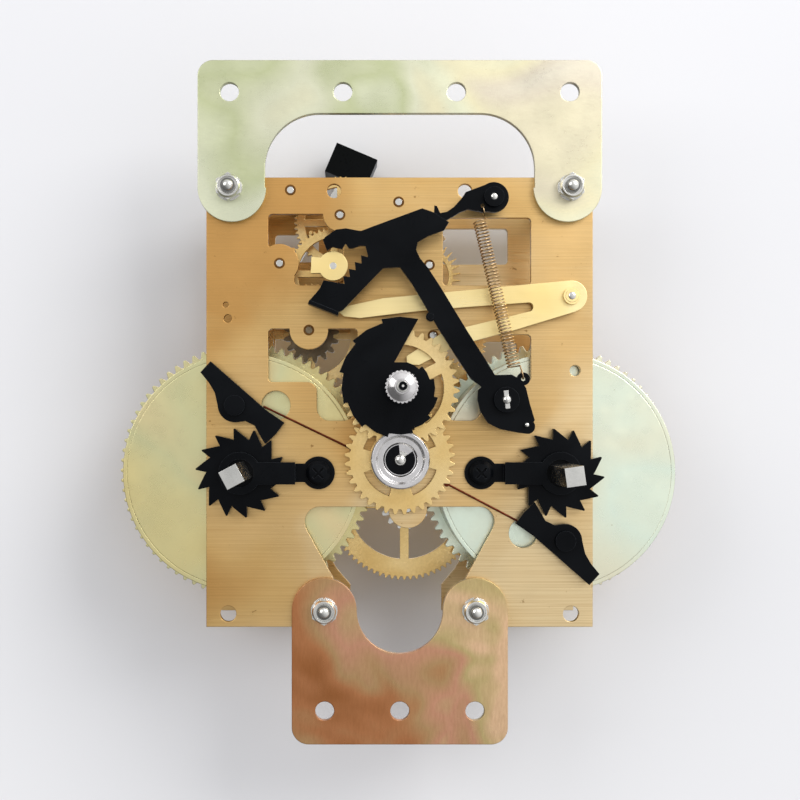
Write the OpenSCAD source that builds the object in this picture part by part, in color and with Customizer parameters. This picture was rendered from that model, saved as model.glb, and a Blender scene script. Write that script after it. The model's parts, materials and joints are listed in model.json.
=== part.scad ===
// Two-train striking clock movement, seen from the dial side.
// X runs to the right, Z up, and Y from the hands back through the plates.
// The origin is on the hand arbor, at the middle of the minute hand's seat.

/* [Plates] */
// Width of both plates
plate_w = 92; // [90:0.5:96]
// Height of the plates above the hand arbor
plate_up = 50.3; // [49:0.1:52]
// Depth of the plates below the hand arbor
plate_down = 56.7; // [56:0.1:60]
// Thickness of each plate
plate_t = 1.5; // [1.2:0.1:2]
// Clear distance between the two plates
plate_gap = 25.5; // [25:0.5:28]
// Distance from the hand seat back to the front plate
seat_to_plate = 20; // [18:0.5:26]
// Radius of the four plate pillars
pillar_r = 3.4; // [3:0.1:4]
// Radius of the threaded pillar ends
stud_r = 1.7; // [1.5:0.05:1.9]

/* [Brackets] */
// Thickness of both mounting brackets
bracket_t = 1.6; // [1.2:0.1:2]
// Width of the upper bracket
upper_w = 95.8; // [94:0.2:100]
// Height of the upper bracket's top edge above the hand arbor
upper_top = 77.8; // [76:0.2:82]
// Spacing of the four upper mounting holes
upper_pitch = 26.9; // [25:0.1:28]
// Height of the upper mounting holes above the hand arbor
upper_hole_z = 70.3; // [69:0.1:72]
// Width of the lower bracket
lower_w = 51.2; // [50:0.2:54]
// Depth of the lower bracket's bottom edge below the hand arbor
lower_bottom = 84.3; // [83:0.1:88]
// Spacing of the three lower mounting holes
lower_pitch = 17.8; // [16:0.1:19]
// Depth of the lower mounting holes below the hand arbor
lower_hole_z = 76.4; // [75:0.1:78]
// Radius of the mounting holes in both brackets
mount_r = 2.25; // [2:0.05:2.6]

/* [Winding and barrels] */
// Distance of each winding arbor from the centre line
barrel_x = 37.7; // [37.5:0.1:38]
// Depth of the winding arbors below the hand arbor
barrel_down = 20; // [19.5:0.1:20.5]
// Outer radius of each spring barrel
barrel_r = 28.6; // [27:0.1:29]
// Length of each spring barrel
barrel_len = 14.5; // [13:0.1:14.5]
// Wall of each spring barrel
barrel_wall = 1; // [0.8:0.1:1.5]
// Width across the flats of the winding squares
square_w = 4.25; // [3.75:0.25:4.5]
// Distance that the winding squares stand in front of the front plate
square_out = 24; // [20:0.5:28]
// Radius of the winding arbors in their plate holes
arbor_r = 3; // [3:0.1:3.2]
// Radius over the ratchet teeth
ratchet_r = 10.6; // [10:0.1:11]
// Teeth on each ratchet wheel
ratchet_teeth = 14; // [14:1:14]

/* [Hands] */
// Radius of the minute hand's seat
minute_seat_r = 1; // [0.9:0.05:1.1]
// Radius of the hour hand's seat
hour_seat_r = 1.7; // [1.6:0.05:2]
// Radius of the knurled collar on the hour pipe
collar_r = 3.8; // [3.5:0.1:4.5]
// Distance from the hand arbor down to the minute wheel's post
motion_drop = 16.8; // [16.4:0.1:17.2]
// Largest radius of the snail
snail_r = 16.6; // [16:0.1:17]
// Radius lost at each of the snail's twelve steps
snail_step = 0.95; // [0.8:0.05:0.95]

/* [Fits] */
// Radial clearance of a pivot or shaft in its hole
run_gap = 0.05; // [0.03:0.01:0.09]
// End play between a shoulder and a plate
end_gap = 0.15; // [0.1:0.05:0.25]
// Backlash measured along the pitch circle of each gear
backlash = 0.14; // [0.1:0.02:0.2]
// Gap left where a linkage is opened
open_gap = 0.3; // [0.2:0.05:0.4]
// Radius of the train pivots
pivot_r = 0.8; // [0.7:0.05:0.9]
// Radius of the train arbors
shaft_r = 1.2; // [1.1:0.05:1.4]
// Thickness of the train wheels
wheel_t = 1.1; // [0.9:0.05:1.2]

/* [Tension spring] */
// Wire radius of the rack's tension spring
spring_wire_r = 0.17; // [0.15:0.01:0.18]
// Radius from the spring's axis to its wire
spring_coil_r = 1.45; // [1.2:0.05:1.6]
// Number of curls in the spring
spring_curls = 46; // [36:1:46]

/* [Hidden] */
$fn = 48;

brass = [0.80, 0.64, 0.36];
pale_brass = [0.90, 0.76, 0.47];
zinc = [0.78, 0.77, 0.62];
steel = [0.80, 0.80, 0.82];
black = [0.07, 0.08, 0.09];
blued = [0.45, 0.22, 0.14];

// Depths along Y, counted back from the hand seat
face_y = seat_to_plate;
inner_y = face_y + plate_t;
rear_y = inner_y + plate_gap;
back_y = rear_y + plate_t;

// A gear is [teeth, module]; its pitch radius is half their product
great = [78, 0.8];
strike_second_pinion = [16, 0.8];
strike_second = [52, 0.5];
gather_pinion = [10, 0.5];
gather = [56, 0.4];
warning_pinion = [10, 0.4];
warning = [56, 0.4];
fly_pinion = [10, 0.4];
time_second_pinion = [14, 0.8];
time_second = [76, 0.5];
third_pinion = [10, 0.5];
third = [80, 0.45];
fourth_pinion = [10, 0.45];
fourth = [74, 0.4];
escape_pinion = [10, 0.4];
cannon = [12, motion_drop / 24];
minute = [36, motion_drop / 24];
minute_leaf = [9, motion_drop / 22.5];
hour = [36, motion_drop / 22.5];

function pitch_r(g) = g[0] * g[1] / 2;
function centres(a, b) = pitch_r(a) + pitch_r(b);
// Point at distance d from c, above it, at the given x
function above(c, x, d) = [x, c[1] + sqrt(d * d - (x - c[0]) * (x - c[0]))];
function angle_to(a, b) = atan2(b[1] - a[1], b[0] - a[0]);

// Arbor places as [x, z]; each is at meshing distance from the one before
hand_at = [0, 0];
minute_at = [0, -motion_drop];
strike_at = [-barrel_x, -barrel_down];
time_at = [barrel_x, -barrel_down];
strike_second_at = above(strike_at, -21.6, centres(great, strike_second_pinion));
gather_at = above(strike_second_at, -15.7, centres(strike_second, gather_pinion));
warning_at = above(gather_at, -14.2, centres(gather, warning_pinion));
fly_at = above(warning_at, -26, centres(warning, fly_pinion));
time_second_drop = 8.6;
time_second_reach = centres(great, time_second_pinion);
time_second_at = [barrel_x - sqrt(pow(time_second_reach, 2) - pow(time_second_drop, 2)),
    -barrel_down - time_second_drop];
third_at = above(time_second_at, 5, centres(time_second, third_pinion));
fourth_at = above(third_at, 8, centres(third, fourth_pinion));
escape_at = above(fourth_at, 7.1, centres(fourth, escape_pinion));
anchor_at = [-0.2, 44.5];
hammer_at = [-28.6, 29.9];

// Levels between the plates, counted from the front plate's inner face
barrel_level = 1;
great_level = barrel_level + barrel_len;
great_t = 2;
gather_level = 6.5;
warning_level = 10.5;
second_level = great_level + great_t + 1;
third_level = second_level + wheel_t + 0.9;
fourth_level = third_level + wheel_t + 0.9;
escape_level = third_level;

// Levels in front of the plate, as the distance from its face to a piece's back
cannon_out = 0.8;
hour_out = 3.1;
cup_out = 4.5;
snail_out = 5.9;
lever_out = 1.4;
hook_out = 5.6;
rack_out = 7.9;
ratchet_out = 1.2;
bridge_out = 3.2;
motion_t = 1;
lever_t = 1.2;
ratchet_t = 1.6;

// Pillars: two under each bracket
upper_pillar = [40.5, 47.6];
lower_pillar = [17.9, -52.6];
pillar_at = [[-upper_pillar[0], upper_pillar[1]], upper_pillar,
    [-lower_pillar[0], lower_pillar[1]], lower_pillar];

rack_at = [24.3, -2.8];
hook_at = [21.7, 44.4];
lift_at = [40.5, 21.8];

// Places a flat outline, drawn as [x, z], between two depths
module slab(front, back)
    translate([0, back, 0]) rotate([90, 0, 0]) linear_extrude(back - front) children();

// A round bar along Y at [x, z]
module rod(at, r, front, back)
    translate([at[0], back, at[1]]) rotate([90, 0, 0]) cylinder(r = r, h = back - front);

// A hexagonal bar along Y
module hex(at, across, front, back)
    translate([at[0], back, at[1]]) rotate([90, 0, 0])
        rotate([0, 0, 30]) cylinder(r = across / sqrt(3), h = back - front, $fn = 6);

// Turned form along Y: profile points are [radius, distance in front of y]
module turned(at, y, profile)
    translate([at[0], y, at[1]]) rotate([90, 0, 0]) rotate_extrude() polygon(profile);

// Involute angle in degrees at radius r on base radius rb
function roll(r, rb) = let(a = acos(min(1, rb / r))) tan(a) * 180 / PI - a;
pressure = 25;
// Half the angle that a tooth takes up at radius r
function half_tooth(n, m, r) =
    let(rp = n * m / 2, rb = rp * cos(pressure))
    90 / n - backlash / rp * 90 / PI + roll(rp, rb) - roll(max(r, rb), rb);

// Outline of a gear with a tooth centred at the angle phase
function gear_points(n, m, phase) =
    let(rp = n * m / 2, tip = rp + 0.75 * m, root = rp - 1.05 * m,
        low = max(root + 0.01 * m, rp * cos(pressure)), radii = [root, low, rp, tip])
    [for (i = [0:n - 1]) for (side = [-1, 1]) for (k = [0:3])
        let(r = radii[side < 0 ? k : 3 - k], a = phase + i * 360 / n
            + side * half_tooth(n, m, r))
        [r * cos(a), r * sin(a)]];

// Phase of gear b, so that it meshes with gear a whose phase is known
function mesh_phase(a, phase_a, b, at_a, at_b) =
    let(d = angle_to(at_a, at_b)) d + 180 + 180 / b[0] - (phase_a - d) * a[0] / b[0];

module gear(g, phase) polygon(gear_points(g[0], g[1], phase));

// Phases down each train
strike_second_phase = mesh_phase(great, 0, strike_second_pinion, strike_at, strike_second_at);
gather_phase = mesh_phase(strike_second, 0, gather_pinion, strike_second_at, gather_at);
warning_phase = mesh_phase(gather, 0, warning_pinion, gather_at, warning_at);
fly_phase = mesh_phase(warning, 0, fly_pinion, warning_at, fly_at);
time_second_phase = mesh_phase(great, 0, time_second_pinion, time_at, time_second_at);
third_phase = mesh_phase(time_second, 0, third_pinion, time_second_at, third_at);
fourth_phase = mesh_phase(third, 0, fourth_pinion, third_at, fourth_at);
escape_phase = mesh_phase(fourth, 0, escape_pinion, fourth_at, escape_at);
minute_phase = mesh_phase(cannon, 0, minute, hand_at, minute_at);
hour_phase = mesh_phase(minute_leaf, 0, hour, minute_at, hand_at);

// A wheel with its rim, spokes and hub seat, placed by its front level
module wheel(g, phase, at, y, thick, bore, spokes, hub, rim) {
    inner = pitch_r(g) - 1.05 * g[1] - rim;
    slab(y, y + thick)
        translate(at) difference() {
            gear(g, phase);
            circle(r = bore);
            difference() {
                circle(r = inner);
                circle(r = hub);
                for (i = [0:spokes - 1])
                    rotate(phase + i * 360 / spokes)
                        translate([0, -hub * 0.28]) square([inner + 1, hub * 0.56]);
            }
        }
}

// A train arbor: pivots in both plates, a shaft and a cut pinion
module arbor(at, pinion, phase, pinion_y, pinion_len, bore_y, bore_len) {
    rod(at, pivot_r, face_y, back_y);
    rod(at, shaft_r, inner_y + end_gap, rear_y - end_gap);
    slab(pinion_y, pinion_y + pinion_len) translate(at) gear(pinion, phase);
    rod(at, wheel_seat_r, bore_y, bore_y + bore_len);
}
wheel_seat_r = 1.5;
hub_r = 3;

// Pivot holes that both plates share
module pivot_holes(y) {
    for (p = [strike_second_at, gather_at, warning_at, fly_at, time_second_at, third_at,
            fourth_at, escape_at, anchor_at, hammer_at])
        rod(p, pivot_r + run_gap, y - 1, y + plate_t + 1);
}

// A rectangle with round corners between two opposite corners
module window(low, high, r) {
    w = high[0] - low[0];
    h = high[1] - low[1];
    translate(low) {
        translate([r, 0]) square([w - 2 * r, h]);
        translate([0, r]) square([w, h - 2 * r]);
        for (x = [r, w - r]) for (z = [r, h - r]) translate([x, z]) circle(r = r);
    }
}

// Bottom opening between the two legs, the same in both plates
module leg_gap() {
    round_r = 3.6;
    top = -28.1;
    difference() {
        union() {
            polygon([[-19, top], [19, top], [22.2, -33.4], [15.4, -45.8], [11.8, -50],
                [11.8, -plate_down - 1], [-11.8, -plate_down - 1], [-11.8, -50],
                [-15.4, -45.8], [-22.2, -33.4]]);
            for (side = [-1, 1]) translate([side * 19, top - round_r]) circle(r = round_r);
        }
        translate(time_second_at) circle(r = 4.6);
    }
}

module plate_outline()
    translate([-plate_w / 2, -plate_down]) square([plate_w, plate_up + plate_down]);

// Left and right middle windows, beside the column that carries the hands
module middle_windows() {
    difference() {
        window([-31.3, 1.6], [-10, 14.3], 1);
        translate(strike_second_at) circle(r = 4.6);
    }
    window([10, 1.6], [31.3, 12.9], 1);
    for (side = [0, 1]) mirror([side, 0]) {
        window([-19.7, -7.6], [-10.4, 8], 3);
        difference() {
            translate([-22.1, -0.8]) square([2.5, 2.5]);
            circle_at([-22.1, -0.8], 2.4);
        }
    }
}

module front_plate() {
    color(brass) difference() {
        slab(face_y, inner_y) difference() {
            plate_outline();
            leg_gap();
            middle_windows();
            difference() {
                union() {
                    window([-31.3, 33.6], [-12.5, 41.6], 1);
                    window([-25, 24.6], [-10.2, 35], 1);
                }
                translate(hammer_at) circle(r = 4.6);
                translate(warning_at) circle(r = 4);
                translate(gather_at) circle(r = 3.2);
                translate([-13.4, 24]) square([3.3, 18.4]);
            }
            window([10.3, 24.6], [31.3, 40.7], 1);
        }
        pivot_holes(face_y);
        for (p = [strike_at, time_at]) rod(p, arbor_r + run_gap, face_y - 1, inner_y + 1);
        for (p = pillar_at) rod(p, stud_r + run_gap, face_y - 1, inner_y + 1);
        rod(hand_at, hand_shaft_r + run_gap, face_y - 1, inner_y + 1);
        for (side = [-1, 1]) {
            rod([side * corner_hole[0], corner_hole[1]], 1.9, face_y - 1, inner_y + 1);
            rod([side * top_hole[0], top_hole[1]], 1.7, face_y - 1, inner_y + 1);
        }
        rod([-41.4, 20], 0.7, face_y - 1, inner_y + 1);
        rod([-40.9, 16.7], 1, face_y - 1, inner_y + 1);
        rod([41.8, 4.3], 1.3, face_y - 1, inner_y + 1);
        rod([29.5, -34.4], 3.5, face_y - 1, inner_y + 1);
        rod([-29.5, -4], 3.5, face_y - 1, inner_y + 1);
    }
}
hand_shaft_r = 2;
corner_hole = [40.8, -53.6];
top_hole = [15.6, 47.1];

module back_plate() {
    color(brass) difference() {
        slab(rear_y, back_y) difference() {
            plate_outline();
            leg_gap();
            middle_windows();
            window([-31.3, 33.6], [-20, 40.7], 1);
            window([12, 33], [29, 42.3], 1);
        }
        pivot_holes(rear_y);
        for (p = [strike_at, time_at]) rod(p, rear_pivot_r + run_gap, rear_y - 1, back_y + 1);
        for (p = pillar_at) rod(p, stud_r + run_gap, rear_y - 1, back_y + 1);
        for (side = [-1, 1])
            rod([side * corner_hole[0], corner_hole[1]], 1.9, rear_y - 1, back_y + 1);
    }
}
rear_pivot_r = 2.4;

// Each pillar has a threaded stud at both ends
nut_t = 2.4;
nut_across = 5.6;
module pillars() {
    color(steel) for (p = pillar_at) {
        rod(p, pillar_r, inner_y, rear_y);
        rod(p, stud_r, face_y - bracket_t - nut_t - 1, inner_y);
        rod(p, stud_r, rear_y, back_y + nut_t + 0.8);
    }
}

module pillar_nuts() {
    front = face_y - bracket_t;
    color(steel) for (p = pillar_at) {
        difference() {
            union() {
                hex(p, nut_across, front - nut_t, front);
                rod(p, nut_across / 2 + 0.35, front - 0.35, front);
            }
            rod(p, stud_r, front - nut_t - 1, front + 1);
        }
        difference() {
            hex(p, nut_across, back_y, back_y + nut_t);
            rod(p, stud_r, back_y - 1, back_y + nut_t + 1);
        }
    }
}

// Arched bracket that joins the two upper pillars
lobe_r = 8.1;
module upper_bracket() {
    arch_w = 64;
    arch_top = 65.2;
    arch_r = 13;
    corner_r = 3.6;
    color(zinc) difference() {
        slab(face_y - bracket_t, face_y) difference() {
            union() {
                window([-upper_w / 2, upper_pillar[1]], [upper_w / 2, upper_top], corner_r);
                for (side = [-1, 1]) {
                    translate([side * (upper_w / 2 - lobe_r), upper_pillar[1]])
                        circle(r = lobe_r);
                    translate([side * (upper_w / 2 - lobe_r) - lobe_r, upper_pillar[1]])
                        square([2 * lobe_r, 8]);
                }
            }
            translate([-arch_w / 2 + arch_r, upper_pillar[1] - 12])
                square([arch_w - 2 * arch_r, arch_top - upper_pillar[1] + 12]);
            translate([-arch_w / 2, upper_pillar[1]])
                square([arch_w, arch_top - upper_pillar[1] - arch_r]);
            for (side = [-1, 1])
                translate([side * (arch_w / 2 - arch_r), arch_top - arch_r])
                    circle(r = arch_r);
        }
        for (i = [-1.5:1:1.5])
            rod([i * upper_pitch, upper_hole_z], mount_r, face_y - bracket_t - 1, face_y + 1);
        for (side = [-1, 1])
            rod([side * upper_pillar[0], upper_pillar[1]], stud_r + run_gap,
                face_y - bracket_t - 1, face_y + 1);
    }
}

// Bracket with a round notch that joins the two lower pillars
module lower_bracket() {
    notch_r = lower_pillar[0] - lower_lobe_r;
    color([0.78, 0.62, 0.50]) difference() {
        slab(face_y - bracket_t, face_y) difference() {
            union() {
                window([-lower_w / 2, -lower_bottom], [lower_w / 2, lower_pillar[1]], 4);
                for (side = [-1, 1]) {
                    translate([side * lower_pillar[0], lower_pillar[1]])
                        circle(r = lower_lobe_r);
                    translate([side * lower_pillar[0] - lower_lobe_r, lower_pillar[1] - 8])
                        square([2 * lower_lobe_r, 8]);
                }
            }
            circle_at([0, lower_pillar[1]], notch_r);
            translate([-notch_r, lower_pillar[1]]) square([2 * notch_r, 9]);
        }
        for (i = [-1:1])
            rod([i * lower_pitch, -lower_hole_z], mount_r, face_y - bracket_t - 1, face_y + 1);
        for (side = [-1, 1])
            rod([side * lower_pillar[0], lower_pillar[1]], stud_r + run_gap,
                face_y - bracket_t - 1, face_y + 1);
    }
}
lower_lobe_r = lower_w / 2 - lower_pillar[0];
module circle_at(at, r) translate(at) circle(r = r);

// Black strap that holds a ratchet down, joggled to its screw on the plate
bridge_screw_x = 19.3;
bridge_t = 1;
module bridge(at, side) {
    front = face_y - bridge_out - bridge_t;
    foot_x = at[0] + side * (barrel_x - bridge_screw_x);
    knee_x = at[0] + side * (barrel_x - bridge_screw_x - 5.4);
    color(black) difference() {
        union() {
            rod(at, 5, front, front + bridge_t);
            slab(front, front + bridge_t)
                translate([min(at[0], knee_x), at[1] - 2.6]) square([abs(knee_x - at[0]), 5.2]);
            slab(front, face_y)
                translate([min(knee_x, knee_x - side * 1), at[1] - 2.2]) square([1, 4.4]);
            slab(face_y - bridge_t, face_y)
                translate([min(knee_x, foot_x), at[1] - 2.2]) square([abs(foot_x - knee_x), 4.4]);
            rod([foot_x, at[1]], 3.9, face_y - bridge_t, face_y);
        }
        rod(at, arbor_r + 0.3, front - 1, face_y + 1);
        rod([foot_x, at[1]], 1.5, front - 1, face_y + 1);
    }
}
module left_bridge() bridge(strike_at, 1);
module right_bridge() bridge(time_at, -1);

module bridge_screws() {
    color(black) for (side = [-1, 1]) {
        at = [side * bridge_screw_x, -barrel_down];
        difference() {
            turned(at, face_y - bridge_t, [[0, 0], [3, 0], [2.9, 0.8], [2.1, 1.5], [0, 1.8]]);
            for (turn = [45, 135])
                translate([at[0], face_y - bridge_t - 0.9, at[1]]) rotate([0, turn, 0])
                    translate([-1.7, -2, -0.3]) cube([3.4, 2, 0.6]);
        }
        rod(at, 1.4, face_y - bridge_t, face_y);
    }
}

// Ratchet wheel with undercut teeth; the squared hole fits the arbor
function ratchet_points(n, tip, root) =
    [for (i = [0:n - 1]) for (k = [0:3])
        let(a = i * 360 / n + [0, 2.5, 4, 20][k], r = [root, tip - 0.1, tip, root + 0.5][k])
        [r * cos(-a), r * sin(-a)]];

ratchet_root = ratchet_r - 2.6;
left_turn = 24;
right_turn = 8;
module ratchet(at, turn, square_turn) {
    front = face_y - ratchet_out - ratchet_t;
    color(black) slab(front, front + ratchet_t) translate(at) difference() {
        rotate(turn) polygon(ratchet_points(ratchet_teeth, ratchet_r, ratchet_root));
        rotate(square_turn) square(square_w + 0.04, center = true);
    }
}
left_square_turn = 28;
right_square_turn = 8;
module left_ratchet() ratchet(strike_at, left_turn, left_square_turn);
module right_ratchet() ratchet(time_at, left_turn, right_square_turn);

// Winding arbor: square end, plate journal, spring hook barrel and rear pivot
module winding_arbor(at, square_turn) {
    color(steel) {
        translate([at[0], face_y, at[1]]) rotate([90, 0, 0]) rotate([0, 0, square_turn])
            translate([-square_w / 2, -square_w / 2, 0]) cube([square_w, square_w, square_out]);
        rod(at, arbor_r, face_y - ratchet_out + 0.1, inner_y + barrel_level + barrel_wall + 1);
        rod(at, core_r, inner_y + barrel_level + barrel_wall + end_gap,
            inner_y + great_level - end_gap);
        rod(at, arbor_r, inner_y + great_level - end_gap, rear_y - end_gap);
        rod(at, rear_pivot_r, rear_y - end_gap, back_y + 0.6);
    }
}
core_r = 6;
module left_winding_arbor() winding_arbor(strike_at, left_square_turn);
module right_winding_arbor() winding_arbor(time_at, right_square_turn);

// Click: its beak drops into the ratchet; drawn relative to the ratchet's centre
click_pivot = [-1.3, 16];
click_stud_r = 1.5;
module click_shape()
    difference() {
        union() {
            polygon([[-7, 26.4], [-9.4, 23.8], [-7.4, 21.4], [-6, 19], [-5.2, 15.4],
                [-3.6, 12.8], [-1, 12], [1.2, 12.3], [3.4, 11.2], [5.1, 8.1], [5.9, 6.9],
                [8.4, 9.2], [10.4, 11.9], [6.2, 14.8]]);
            circle_at(click_pivot, 4);
        }
        circle_at(click_pivot, click_stud_r + run_gap);
    }
module click(at, turn)
    color(black) slab(face_y - ratchet_out - ratchet_t, face_y - ratchet_out)
        translate(at) rotate(turn) click_shape();
module left_click() click(strike_at, 0);
module right_click() click(time_at, 180);

module click_studs() {
    color(black) for (s = [[strike_at, 1], [time_at, -1]]) {
        at = s[0] + s[1] * click_pivot;
        rod(at, click_stud_r, face_y - ratchet_out - ratchet_t - 0.2, face_y);
        rod(at, 2.6, face_y - ratchet_out + 0.15, face_y);
        rod(at, 2.4, face_y - ratchet_out - ratchet_t - 0.9,
            face_y - ratchet_out - ratchet_t - end_gap);
    }
}

// Straight bar of wire between two points
module wire(a, b, r) {
    v = b - a;
    translate(a) rotate([0, acos(v[2] / norm(v)), atan2(v[1], v[0])])
        cylinder(r = r, h = norm(v), $fn = 16);
}

// Click springs: wires from a post near the centre to each click's tail
click_wire_r = 0.25;
module click_springs() {
    y = face_y - 0.4;
    color(blued) for (side = [-1, 1]) {
        root = [side * 11.2, y, side < 0 ? -14.4 : -22.6];
        tip = side < 0 ? [-32.4, y, -4.2] : [30.6, y, -32.8];
        wire(root, tip, click_wire_r);
        translate(root) sphere(r = click_wire_r, $fn = 24);
        rod([root[0], root[2]], 0.7, face_y - 0.65, face_y);
    }
}

// Shouldered posts for the three strike levers
post_r = 1.5;
module lever_post(at, seat, thick) {
    rod(at, post_r + 0.9, face_y - seat + end_gap, face_y);
    rod(at, post_r, face_y - seat - thick - 1, face_y);
    rod(at, post_r + 0.5, face_y - seat - thick - 0.9, face_y - seat - thick - end_gap);
}
module lever_studs() {
    color(steel) {
        lever_post(rack_at, rack_out - lever_t, 2 * lever_t);
        lever_post(hook_at, hook_out, lever_t);
        lever_post(lift_at, lever_out, lever_t);
    }
}

module minute_wheel_post() {
    color(steel) {
        rod(minute_at, 2.2, face_y - cannon_out + end_gap, face_y);
        rod(minute_at, post_r - 0.3, face_y - cup_out - 1.15, face_y);
    }
}

// Cock behind the back plate that carries the pendulum spring
module suspension_cock() {
    color(brass) difference() {
        union() {
            slab(back_y, back_y + 1.4) translate([-8, 46.8]) square([16, 3.2]);
            translate([-3, back_y, 46.8]) cube([6, 9, 2.4]);
            translate([-3, back_y + 6.5, 46.8]) cube([6, 2.5, 7.6]);
        }
        translate([-0.4, back_y + 6, 49.4]) cube([0.8, 4, 6]);
    }
}

// Spring barrel: drum, back wall and great wheel in one piece
module barrel(at, phase) {
    front = inner_y + barrel_level;
    back = inner_y + great_level;
    color(pale_brass) difference() {
        union() {
            rod(at, barrel_r, front, back);
            slab(back, back + great_t) translate(at) gear(great, phase);
            rod(at, 6, back, back + great_t + 0.6);
        }
        rod(at, barrel_r - barrel_wall, front - 1, back);
        rod(at, arbor_r + run_gap, front - 1, back + great_t + 2);
    }
}
module strike_barrel() barrel(strike_at, 0);
module time_barrel() barrel(time_at, 0);

// Snap-in cap at the front of each barrel
module barrel_cap(at) {
    front = inner_y + barrel_level;
    color(zinc) difference() {
        union() {
            rod(at, barrel_r - barrel_wall, front, front + barrel_wall);
            rod(at, arbor_r + 1.8, front - 0.5, front);
        }
        rod(at, arbor_r + run_gap, front - 1, front + barrel_wall + 1);
    }
}
module strike_barrel_cap() barrel_cap(strike_at);
module time_barrel_cap() barrel_cap(time_at);

// Mainspring: one flat strip wound outwards at a steady rate
spring_strip = 0.9;
spring_turns = 7;
function spiral(r0, r1, turns, steps) =
    [for (i = [0:steps]) let(a = 360 * turns * i / steps, r = r0 + (r1 - r0) * i / steps)
        [r * cos(a), r * sin(a)]];
module mainspring(at) {
    first = core_r + 0.3;
    last = barrel_r - barrel_wall - 0.1;
    steps = 24 * spring_turns;
    inside = spiral(first, last - spring_strip, spring_turns, steps);
    outside = spiral(first + spring_strip, last, spring_turns, steps);
    color([0.35, 0.36, 0.40])
        slab(inner_y + barrel_level + barrel_wall + 0.3, inner_y + great_level - 0.3)
            translate(at) polygon(concat(inside, [for (i = [steps:-1:0]) outside[i]]));
}
module strike_mainspring() mainspring(strike_at);
module time_mainspring() mainspring(time_at);

// Hand arbor with its cannon pinion; the front end carries the minute hand
minute_free = 4;
module minute_arbor() {
    tip = -minute_free / 2;
    color(steel) {
        rod(hand_at, minute_seat_r, tip, -tip + 0.2);
        rod(hand_at, 1.25, -tip, face_y);
        rod(hand_at, hand_shaft_r, face_y - 0.2, inner_y + end_gap + 0.2);
        rod(hand_at, 3.2, inner_y + end_gap, inner_y + 0.9);
        slab(face_y - cannon_out - motion_t - 0.3, face_y - end_gap) gear(cannon, 0);
    }
}

// Two-lobed cam in front of the cannon pinion, which raises the lifting lever
module lifting_cam() {
    color(brass) slab(face_y - hour_out + 0.1, face_y - cannon_out - motion_t - 0.3)
        difference() {
            union() {
                circle(r = 3);
                for (turn = [20, 200])
                    rotate(turn) polygon([[0, -2], [5.2, -1], [5.2, 1], [0, 2]]);
            }
            circle(r = 1.25);
        }
}

module hour_wheel() {
    color(pale_brass) wheel(hour, hour_phase, hand_at, face_y - hour_out - motion_t,
        motion_t, pipe_r, 4, 5.2, 2.4);
}
pipe_r = 2.3;

// Brass pipe with a knurled collar; its front end is the hour hand's seat
collar_t = 3;
hour_seat = 2.4;
hour_front = minute_free / 2 + 0.4;
collar_y = hour_front + hour_seat + 0.5 + collar_t;
module hour_pipe() {
    front = hour_front;
    color(steel) difference() {
        union() {
            rod(hand_at, pipe_r, collar_y, face_y - hour_out - 0.05);
            rod(hand_at, hour_seat_r, front, collar_y + 0.2);
            slab(collar_y - collar_t, collar_y)
                polygon([for (i = [0:71]) let(r = collar_r - (i % 3 == 2 ? 0.3 : 0))
                    [r * cos(i * 5), r * sin(i * 5)]]);
            rod(hand_at, collar_r - 0.5, collar_y - collar_t - 0.5, collar_y - collar_t);
        }
        rod(hand_at, 1.25 + run_gap, front - 1, face_y);
    }
}

// Snail: twelve steps, deepest at the notch, whose wall leans back from the tip
snail_turn = 75.5;
snail_low = snail_r - 11 * snail_step;
snail_lean = 28;
module snail() {
    color(black) slab(face_y - snail_out - motion_t, face_y - snail_out) difference() {
        rotate(snail_turn) polygon(concat([for (i = [0:11]) for (k = [0:2])
            let(a = i * 30 + k * 15, r = snail_r - i * snail_step)
            [r * cos(a), r * sin(a)]],
            [snail_low * [cos(snail_lean), sin(snail_lean)]]));
        circle(r = pipe_r);
    }
}

module minute_wheel() {
    y = face_y - cannon_out - motion_t;
    color(pale_brass) slab(y, y + motion_t) translate(minute_at) difference() {
        gear(minute, minute_phase);
        circle(r = 2);
        for (i = [0:3]) rotate(20 + 90 * i) arc_slot(7.2, 9, 54);
    }
}

// Curved slot between two radii, through the given angle
module arc_slot(r0, r1, sweep)
    polygon(concat([for (a = [0:6:sweep]) [r1 * cos(a), r1 * sin(a)]],
        [for (a = [sweep:-6:0]) [r0 * cos(a), r0 * sin(a)]]));

module minute_pinion() {
    y = face_y - cannon_out - motion_t;
    color(steel) difference() {
        union() {
            slab(face_y - hour_out - motion_t - 0.2, y) translate(minute_at)
                gear(minute_leaf, 0);
            rod(minute_at, 2, face_y - cup_out, y + motion_t);
        }
        rod(minute_at, post_r - 0.3 + run_gap, face_y - 9, face_y);
    }
}

// Bright cup in front of the minute wheel, open at the middle
cup_r = 6.9;
module clutch_cup() {
    color(steel) turned(minute_at, face_y - cup_out, [[2, 0], [cup_r - 0.4, 0], [cup_r, 0.3],
        [cup_r, 0.8], [cup_r - 0.3, 1.1], [cup_r - 1.1, 1.1], [cup_r - 1.7, 0.6],
        [4.1, 0.6], [3.7, 0.3], [2, 0.3]]);
}

module strike_second_arbor() {
    color(steel) arbor(strike_second_at, strike_second_pinion, strike_second_phase,
        inner_y + great_level - 0.2, great_t + 0.4, inner_y + second_level - 0.6, 1.8);
}

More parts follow.
